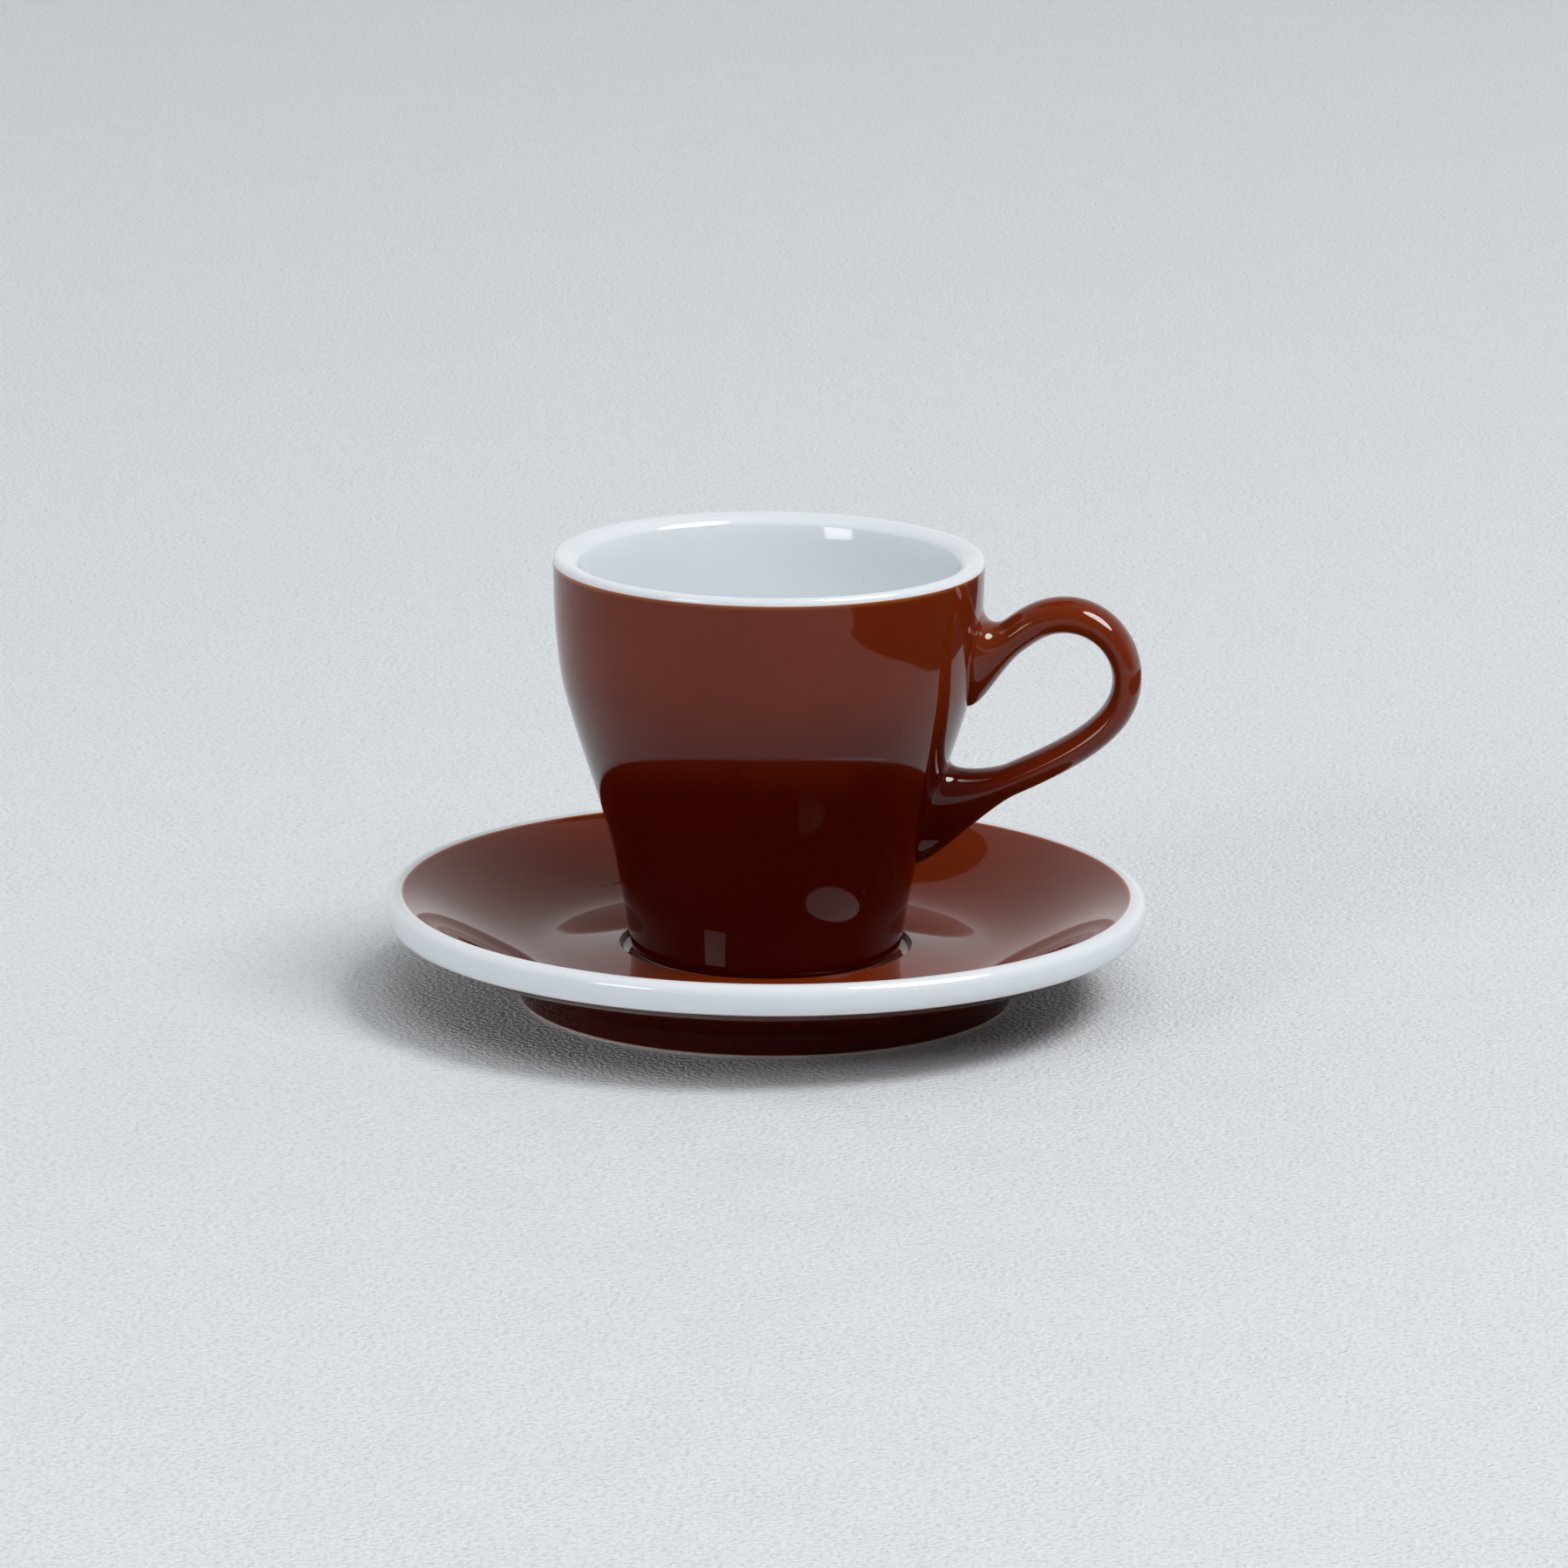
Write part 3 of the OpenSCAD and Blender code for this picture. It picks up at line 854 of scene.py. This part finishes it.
@dataclass
class Cup(TurnedPiece):
    """The cup: a clay piece with three coats of glaze."""

    height: float = 74.4
    lip_d: float = 79.0
    lip_h: float = 1.3
    lip_crest: float = 1.1
    lip_roll_h: float = 1.9
    wall_t: float = 3.9
    wall_gain: float = 2.1
    gain_h: float = 4.5
    collar_d: float = 78.0
    collar_z: float = 61.0
    shoulder_d: float = 74.5
    shoulder_z: float = 49.0
    waist_d: float = 57.3
    waist_z: float = 21.0
    foot_d: float = 49.2
    foot_w: float = 3.0
    foot_bevel: float = 1.2
    foot_fillet: float = 0.8
    recess: float = 1.6
    floor_t: float = 4.4
    bowl_h: float = 13.0
    wall_steps: int = 70
    bowl_steps: int = 30
    outer_edge_w: float = 0.7
    liner_edge_w: float = 0.25
    base_edge_w: float = 0.5
    # Painted shade on the outer coat: it starts at the first height, is full at the second, and is never
    # under the least share.
    shade_clear_z: float = 62.0
    shade_full_z: float = 28.0
    least_shade: float = 0.22
    lift: float = 8.6

    def radius(self, z: float) -> float:
        """Return the outer radius at the height z above the cup's foot."""
        lip_z = self.height - self.lip_h
        stations = [(0.0, self.foot_d / 2), (self.waist_z, self.waist_d / 2),
                    (self.shoulder_z, self.shoulder_d / 2), (self.collar_z, self.collar_d / 2),
                    (lip_z, self.lip_d / 2)]
        return through(stations, z)

    def wall_at(self, z: float) -> float:
        """Return the wall's thickness at the height z above the cup's foot."""
        return self.wall_t + self.wall_gain * (1 - math.exp((z - self.height) / self.gain_h))

    def outline(self) -> tuple[list[Point], dict[str, int]]:
        """Outline from the axis underneath, up the outside, over the lip and down to the axis inside.

        Returns:
            The points, and the numbers of the points where one coat gives way to the next.
        """
        lip_z = self.height - self.lip_h
        foot_out = self.radius(self.foot_bevel) - self.foot_bevel
        foot_in = foot_out - self.foot_w
        fillet = self.foot_fillet
        bowl_z = self.recess + self.floor_t + self.bowl_h

        base = [(0.0, self.recess)]
        base += arc((foot_in - fillet, self.recess - fillet), fillet, fillet, 90, 0, self.corner_steps)
        base.append((foot_in, self.bare_h))
        foot = [(foot_in + self.bare_h, 0.0), (foot_out, 0.0)]
        outer = [(foot_out + self.bare_h, self.bare_h)]
        for z in np.linspace(self.foot_bevel, lip_z, self.wall_steps + 1):
            outer.append((self.radius(z), float(z)))
        roll_z = self.height - self.lip_roll_h
        lip = arc((self.lip_d / 2 - self.lip_crest, lip_z), self.lip_crest, self.lip_h, 0, 90,
                  self.round_steps)[1:]
        for a in np.radians(np.linspace(0, 90, 2 * self.round_steps + 1))[1:]:
            z = roll_z + self.lip_roll_h * math.cos(a)
            wall = mix(self.lip_crest, self.wall_at(z), math.sin(a))
            lip.append((self.radius(min(z, lip_z)) - wall, z))
        inner = []
        for z in np.linspace(roll_z, bowl_z, self.wall_steps + 1)[1:]:
            inner.append((self.radius(z) - self.wall_at(z), float(z)))
        bowl = []
        for a in np.radians(np.linspace(0, 90, self.bowl_steps + 1))[1:]:
            z = bowl_z - self.bowl_h * math.sin(a)
            r = (self.radius(z) - self.wall_at(z)) * math.cos(a)
            bowl.append((0.0 if r < 1e-6 else r, z))

        base_end = len(base) - 1
        outer_start = base_end + len(foot) + 1
        lip_start = outer_start + len(outer) - 1
        marks = {"base_end": base_end, "outer_start": outer_start, "lip_start": lip_start}
        return base + foot + outer + lip + inner + bowl, marks

    def build(self, dresser: Dresser) -> None:
        """Make the cup's coats.

        Args:
            dresser: gives the finishes.
        """
        skin, marks = self.outline()
        bare = range(marks["base_end"], marks["outer_start"] + 1)
        outer = Coat("cup_outer", "cup_outer_glaze", Slot.BROWN, marks["outer_start"], marks["lip_start"],
                     Edge.END, self.outer_edge_w, self.shade_clear_z, self.shade_full_z,
                     self.least_shade)
        liner = Coat("cup_liner", "cup_liner_glaze", Slot.WHITE, marks["lip_start"], len(skin) - 1,
                     Edge.START, self.liner_edge_w)
        base = Coat("cup_base", "cup_base_glaze", Slot.BROWN, 0, marks["base_end"], Edge.END,
                    self.base_edge_w)
        for coat, material in ((outer, dresser.brown), (liner, dresser.white), (base, dresser.brown)):
            self.make_coat(skin, bare, coat, self.lift, Body.CUP, material)


@dataclass(frozen=True)
class Root:
    """The spread end of the handle on the cup's wall."""

    z: float
    height: float
    width: float
    upward: int


@dataclass
class Handle:
    """The handle: an oval loop with two flared roots, in clay, slip and glaze."""

    cup: Cup
    upper: Root = Root(56.7, 19.0, 17.0, 1)
    lower: Root = Root(27.3, 20.0, 14.0, -1)
    arch_rise: float = 8.1
    arch_out: float = 16.0
    bow_out: float = 27.2
    bow_drop: float = 11.7
    upper_arm_angle: float = 23.0
    lower_arm_angle: float = 24.0
    arch_t: float = 6.6
    bow_t: float = 5.4
    arm_t: float = 5.9
    grip_w: float = 10.0
    root_fillet: float = 3.0
    root_tip_t: float = 3.0
    upper_arm_lead: float = 7.0
    arch_lead: float = 7.0
    bow_lead: float = 11.0
    lower_arm_lead: float = 22.0
    root_side_lead: float = 2.4
    root_tip_lead: float = 6.0
    round_share: float = 0.55
    root_taper: float = 0.35
    upper_flare_end: float = 0.42
    lower_flare_end: float = 2.74
    sink: float = 0.03
    core_gap: float = 0.06
    core_start: int = 4
    slip_sink: float = 0.12
    slip_steps: int = 6
    slip_middle: float = 0.05
    crease: float = 60.0
    # Share of the cup's painted shade that the loop keeps; it is full at the lower root.
    loop_shade_share: float = 0.35
    sides: int = 64
    flare_steps: int = 28
    loop_steps: int = 120
    curves: list[list[np.ndarray]] = field(default_factory=list)

    def __post_init__(self) -> None:
        """Work out the three curves of the loop's centre line."""
        root_x = self.cup.radius(self.upper.z)
        start = np.array([root_x, self.upper.z])
        arch = np.array([root_x + self.arch_out, self.upper.z + self.arch_rise])
        bow = np.array([root_x + self.bow_out, arch[1] - self.bow_drop])
        end = np.array([self.cup.radius(self.lower.z), self.lower.z])
        rise, fall = math.radians(self.upper_arm_angle), math.radians(self.lower_arm_angle)
        share = self.round_share
        self.curves = [
            [start, start + self.upper_arm_lead * np.array([math.cos(rise), math.sin(rise)]),
             arch - np.array([self.arch_lead, 0]), arch],
            [arch, np.array([mix(arch[0], bow[0], share), arch[1]]),
             np.array([bow[0], mix(bow[1], arch[1], share)]), bow],
            [bow, bow - np.array([0, self.bow_lead]),
             end + self.lower_arm_lead * np.array([math.cos(fall), math.sin(fall)]), end]]

    def thickness(self, s: float) -> float:
        """Return the loop's thickness at the station s, from 0 to 3."""
        stations = [self.arch_t, self.arch_t, self.bow_t, self.arm_t]
        i = min(int(s), 2)
        return mix(stations[i], stations[i + 1], ease(s - i))

    def grip_point(self, s: float, a: float) -> np.ndarray:
        """Return the point of the oval section at s and the angle a, in radians."""
        i = min(int(s), 2)
        p = bezier(self.curves[i], s - i)
        d = bezier_direction(self.curves[i], s - i)
        v = self.thickness(s) / 2 * math.cos(a)
        return np.array([p[0] - d[1] * v, self.grip_w / 2 * math.sin(a), p[1] + d[0] * v])

    def on_wall(self, y: float, z: float, depth: float) -> np.ndarray:
        """Return the point at y and z, at a depth below the surface of the cup's wall."""
        r = self.cup.radius(z) - depth
        return np.array([math.sqrt(r * r - y * y), y, z])

    def edge(self, root: Root, a: float) -> np.ndarray:
        """Return y and z of the outline of a root on the wall, at the angle a in radians."""
        c = root.upward * math.cos(a)
        return np.array([root.width / 2 * math.sin(a) * (1 + self.root_taper * c),
                         root.z + root.height / 2 * c])

    def flare_point(self, root: Root, s: float, a: float, t: float) -> np.ndarray:
        """Point of a root's flare.

        Args:
            root: the root.
            s: station of the loop where the flare ends.
            a: angle round the section, in radians.
            t: 0 on the wall and 1 at the loop.

        Returns:
            The point.
        """
        edge = self.edge(root, a)
        middle = np.array([0.0, root.z])
        inner = edge + self.root_fillet * (middle - edge) / np.linalg.norm(middle - edge)
        tip = ((1 - root.upward * math.cos(a)) / 2) ** 2
        wall = self.on_wall(*edge, self.sink)
        foot = self.on_wall(*inner, self.sink)
        lead_in = foot * (1 - tip) + (wall + np.array([self.root_tip_t, 0, 0])) * tip
        end = self.grip_point(s, a)
        i = min(int(s), 2)
        d = bezier_direction(self.curves[i], s - i) * root.upward
        lead = mix(self.root_side_lead, self.root_tip_lead, tip)
        return bezier([wall, lead_in, end - lead * np.array([d[0], 0, d[1]]), end], t)

    def angles(self) -> np.ndarray:
        """Return the angles of the points round a section, in radians."""
        return np.linspace(0, 2 * math.pi, self.sides, endpoint=False)

    def rings(self) -> list[list[np.ndarray]]:
        """Return the rings of the handle's skin, from the upper root to the lower one."""
        angles = self.angles()
        made = []
        for t in np.linspace(0, 1, self.flare_steps, endpoint=False):
            made.append([self.flare_point(self.upper, self.upper_flare_end, a, t) for a in angles])
        for s in np.linspace(self.upper_flare_end, self.lower_flare_end, self.loop_steps):
            made.append([self.grip_point(s, a) for a in angles])
        for t in np.linspace(1, 0, self.flare_steps + 1)[1:]:
            made.append([self.flare_point(self.lower, self.lower_flare_end, a, t) for a in angles])
        return made

    def make_loft(self, name: str, node: str, stack: Sequence[np.ndarray],
                  material: bpy.types.Material, capped: bool = False) -> bpy.types.Object:
        """Make a closed skin over a stack of rings and let it ride on the cup.

        Args:
            name: name of the piece.
            node: the node that it stands for.
            stack: rings in order.
            material: its finish.
            capped: close both ends, instead of joining the last ring to the first.

        Returns:
            The piece.
        """
        faces = []
        if capped:
            last = (len(stack) - 1) * self.sides
            faces.append(tuple(range(self.sides))[::-1])
            faces.append(tuple(range(last, last + self.sides)))
        for i in range(len(stack) - capped):
            row, following = i * self.sides, (i + 1) % len(stack) * self.sides
            for j in range(self.sides):
                k = (j + 1) % self.sides
                faces.append((row + j, row + k, following + k, following + j))
        points = np.vstack(stack)
        # Painted shade: the cup's darkening by height, weaker on the loop and full near the lower root.
        near = np.clip(1 - (points[:, 0] - self.cup.radius(self.lower.z)) / self.lower_arm_lead, 0, 1)
        painted_shade = painted_shade_share(points[:, 2], self.cup.shade_clear_z, self.cup.shade_full_z)
        piece = make_object(name, points + np.array([0, 0, self.cup.lift]), faces, self.crease)
        store(piece, "thin", np.zeros(len(points)))
        store(piece, "painted_shade", painted_shade * mix(self.loop_shade_share, 1, ease(near)))
        dress(piece, material)
        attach(piece, Body.CUP.value)
        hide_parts(node)
        log.info("%s: %d faces", piece.name, len(piece.data.polygons))
        return piece

    def build_slip(self, root: Root, name: str, node: str, dresser: Dresser) -> None:
        """Make the film of slip between a root and the wall.

        Args:
            root: the root.
            name: name of the piece.
            node: the node that it stands for.
            dresser: gives the finish.
        """
        middle = np.array([0.0, root.z])
        shares = np.linspace(self.slip_middle, 1 - 2 * self.cup.glaze_t / root.width, self.slip_steps)
        stack = []
        for depth, order in ((self.slip_sink, shares), (self.cup.glaze_t, shares[::-1])):
            for share in order:
                spots = [middle + share * (self.edge(root, a) - middle) for a in self.angles()]
                stack.append(np.array([self.on_wall(*spot, depth) for spot in spots]))
        self.make_loft(name, node, stack, dresser.slip)

    def build(self, dresser: Dresser) -> None:
        """Make the handle's glaze, its clay and the slip under its roots.

        Args:
            dresser: gives the finishes.
        """
        self.build_slip(self.upper, "upper_slip", "handle_upper_lute", dresser)
        self.build_slip(self.lower, "lower_slip", "handle_lower_lute", dresser)
        outer = np.array(self.rings())
        along = np.gradient(outer, axis=0)
        around = np.roll(outer, -1, axis=1) - np.roll(outer, 1, axis=1)
        inward = np.cross(along, around)
        inward /= np.linalg.norm(inward, axis=2)[:, :, None]
        spokes = outer.mean(axis=1, keepdims=True) - outer
        inward *= np.sign(np.sum(inward * spokes, axis=(1, 2)))[:, None, None]
        depth = np.full(len(outer), self.cup.glaze_t)
        depth[0] = depth[-1] = 0.0
        inner = outer + inward * depth[:, None, None]
        self.make_loft("handle_skin", "handle_glaze", [*outer, *inner[-2:0:-1]],
                       dresser.brown)
        core = (outer + inward * (self.cup.glaze_t + self.core_gap))[self.core_start:-self.core_start]
        self.make_loft("handle_core", "cup_handle", list(core), dresser.clay, capped=True)


# The studio

@dataclass(frozen=True)
class Lamp:
    """A soft lamp that points at the object. Its image in the glaze and its light can be turned off."""

    name: str
    bearing: float
    elevation: float
    distance: float
    width: float
    depth: float
    watts: float
    shape: LampShape = LampShape.RECTANGLE
    mirrored: bool = True
    lighting: bool = True


@dataclass(frozen=True)
class Card:
    """A dark board. Its corners lie to the camera's right, away from it and up, in metres."""

    name: str
    corners: tuple[tuple[float, float, float], ...]


@dataclass(frozen=True)
class SkyBand:
    """Brightness of the surroundings behind the object at one height, from 0 level to 1 overhead."""

    height: float
    level: float


@dataclass
class Studio:
    """Floor, soft light and camera. Lengths here are metres."""

    floor_size: float = 12.0
    lens: float = 187.5
    sensor: float = 36.0
    camera_distance: float = 1.5
    camera_azimuth: float = 6.0
    camera_elevation: float = 13.55
    camera_roll: float = 0.54
    camera_near: float = 0.05
    camera_far: float = 50.0
    aim_right: float = 0.0031
    aim_up: float = 0.03985
    sky_tint: Colour = (0.985, 1.0, 1.01)
    front_level: float = 0.12
    sky_bearing: float = -8.0
    front_edge: float = -0.35
    back_edge: float = 0.25
    felt: Colour = (0.05, 0.05, 0.05)
    back_sky: tuple[SkyBand, ...] = (
        SkyBand(0.0, 0.86), SkyBand(0.12, 0.83), SkyBand(0.21, 0.73), SkyBand(0.30, 0.62),
        SkyBand(0.45, 0.54), SkyBand(0.66, 0.46), SkyBand(0.80, 0.36), SkyBand(1.0, 0.30))
    lamps: tuple[Lamp, ...] = (
        Lamp("key_lamp", 108.0, 58.0, 5.0, 2.0, 2.0, 122.0, LampShape.OVAL, mirrored=False),
        Lamp("key_glint", 108.0, 56.5, 5.0, 2.6, 3.1, 420.0, LampShape.OVAL, lighting=False),
        Lamp("front_lamp", 160.0, 55.0, 5.0, 4.0, 3.6, 92.0, mirrored=False),
        Lamp("side_lamp", -136.0, 22.0, 5.0, 1.5, 1.5, 51.6))
    cards: tuple[Card, ...] = (
        Card("low_card", ((0.21, -0.235, 0.001), (0.60, -0.235, 0.001), (0.60, 0.35, 0.001),
                          (0.21, 0.35, 0.001))),
        Card("high_card", ((-0.47, 0.70, 0.855), (0.22, 0.81, 0.855), (0.10, 0.36, 1.14),
                           (-0.21, 0.31, 1.14))))

    def build_floor(self, dresser: Dresser) -> None:
        """Make the floor.

        Args:
            dresser: gives the finish.
        """
        half = self.floor_size / 2 / MM
        corners = np.array([(-half, -half, 0), (half, -half, 0), (half, half, 0), (-half, half, 0)])
        floor = make_object("floor", corners, [(0, 1, 2, 3)])
        dress(floor, dresser.paper)

    def axes(self) -> tuple[Vector, Vector]:
        """Return the level directions to the camera's right and away from it."""
        a = math.radians(self.camera_azimuth)
        return Vector((math.cos(a), math.sin(a), 0)), Vector((-math.sin(a), math.cos(a), 0))

    def toward(self, bearing: float, elevation: float) -> Vector:
        """Unit direction from the object.

        Args:
            bearing: degrees from straight away from the camera, to the right.
            elevation: degrees above the floor.

        Returns:
            The direction.
        """
        right, away = self.axes()
        b, e = math.radians(bearing), math.radians(elevation)
        level = right * math.sin(b) + away * math.cos(b)
        return level * math.cos(e) + Vector((0, 0, math.sin(e)))

    def build_cards(self) -> None:
        """Make the dark cards beside and above the object that only the glaze mirrors."""
        right, away = self.axes()
        material = bpy.data.materials.new("dark_felt")
        material.use_nodes = True
        nodes = NodeTree(material.node_tree)
        output = nodes.add("ShaderNodeOutputMaterial")
        felt = nodes.add("ShaderNodeBsdfDiffuse", inputs={"Color": (*self.felt, 1.0)})
        nodes.join(felt.outputs["BSDF"], output.inputs["Surface"])
        for card in self.cards:
            corners = np.array([right * x + away * y + Vector((0, 0, z)) for x, y, z in card.corners]) / MM
            board = make_object(card.name, corners, [(0, 1, 2, 3)])
            dress(board, material)
            board.visible_camera = False
            board.visible_diffuse = False
            board.visible_shadow = False

    def build_lamps(self) -> None:
        """Make the lamps."""
        for lamp in self.lamps:
            light = bpy.data.lights.new(lamp.name, "AREA")
            light.shape = lamp.shape.value
            light.size = lamp.width
            light.size_y = lamp.depth
            light.energy = lamp.watts
            holder = bpy.data.objects.new(lamp.name, light)
            holder.visible_glossy = lamp.mirrored
            holder.visible_diffuse = lamp.lighting
            aim = self.toward(lamp.bearing, lamp.elevation)
            holder.location = aim * lamp.distance
            holder.rotation_euler = aim.to_track_quat("Z", "Y").to_euler()
            bpy.context.scene.collection.objects.link(holder)

    def build_sky(self) -> None:
        """Make the soft surroundings: bright low behind the object, dim on the camera's side."""
        world = bpy.data.worlds.new("soft_sky")
        world.use_nodes = True
        nodes = NodeTree(world.node_tree)
        output = nodes.add("ShaderNodeOutputWorld")
        sky = nodes.add("ShaderNodeBackground")
        nodes.join(sky.outputs["Background"], output.inputs["Surface"])
        place = nodes.add("ShaderNodeTexCoord")
        split = nodes.add("ShaderNodeSeparateXYZ")
        nodes.join(place.outputs["Generated"], split.inputs[0])
        ramp = nodes.add("ShaderNodeValToRGB")
        stops = ramp.color_ramp.elements
        stops.remove(stops[1])
        for i, band in enumerate(self.back_sky):
            stop = stops[0] if i == 0 else stops.new(band.height)
            stop.position = band.height
            stop.color = tuple(band.level * c for c in self.sky_tint) + (1,)
        nodes.join(split.outputs["Z"], ramp.inputs["Fac"])
        behind = nodes.add("ShaderNodeVectorMath", operation="DOT_PRODUCT")
        behind.inputs[1].default_value = self.toward(self.sky_bearing, 0)
        nodes.join(place.outputs["Generated"], behind.inputs[0])
        share = nodes.add("ShaderNodeMapRange", interpolation_type="SMOOTHSTEP",
                          inputs={"From Min": self.front_edge, "From Max": self.back_edge})
        nodes.join(behind.outputs["Value"], share.inputs["Value"])
        blend = nodes.add("ShaderNodeMix", data_type="RGBA")
        blend.inputs[MIX_FIRST].default_value = tuple(self.front_level * c for c in self.sky_tint) + (1,)
        nodes.join(share.outputs["Result"], blend.inputs["Factor"])
        nodes.join(ramp.outputs["Color"], blend.inputs[MIX_SECOND])
        nodes.join(blend.outputs[MIX_RESULT], sky.inputs["Color"])
        bpy.context.scene.world = world

    def build_camera(self) -> None:
        """Place the camera where the photograph was taken from."""
        right, away = self.axes()
        e, r = math.radians(self.camera_elevation), math.radians(self.camera_roll)
        ahead = away * math.cos(e) - Vector((0, 0, math.sin(e)))
        up = away * math.sin(e) + Vector((0, 0, math.cos(e)))
        tilted_right = right * math.cos(r) + up * math.sin(r)
        tilted_up = up * math.cos(r) - right * math.sin(r)
        place = right * self.aim_right + Vector((0, 0, self.aim_up)) - ahead * self.camera_distance
        data = bpy.data.cameras.new("camera")
        data.lens = self.lens
        data.sensor_width = self.sensor
        data.clip_start = self.camera_near
        data.clip_end = self.camera_far
        camera = bpy.data.objects.new("camera", data)
        turn = Matrix((tilted_right, tilted_up, -ahead)).transposed()
        camera.matrix_world = Matrix.Translation(place) @ turn.to_4x4()
        bpy.context.scene.collection.objects.link(camera)
        bpy.context.scene.camera = camera
        bpy.context.scene.view_settings.view_transform = "Standard"

    def build(self, dresser: Dresser) -> None:
        """Make the whole studio.

        Args:
            dresser: gives the floor's finish.
        """
        self.build_camera()
        self.build_floor(dresser)
        self.build_cards()
        self.build_lamps()
        self.build_sky()


def dress_clay(nodes: dict[str, bpy.types.Object], dresser: Dresser) -> None:
    """Dress the clay pieces that stay as they are.

    Args:
        nodes: the part's own meshes by name.
        dresser: gives the finishes.
    """
    for name in ("saucer_body", "cup_body"):
        dress(nodes[name], dresser.clay)


def main() -> None:
    """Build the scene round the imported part."""
    logging.basicConfig(level=logging.INFO, format="%(name)s: %(message)s")
    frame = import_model()
    dresser = Dresser()
    saucer = Saucer()
    cup = Cup(lift=saucer.well_z)
    saucer.build(dresser)
    cup.build(dresser)
    Handle(cup).build(dresser)
    dress_clay(frame["nodes"], dresser)
    Studio().build(dresser)


if __name__ == "__main__":
    main()
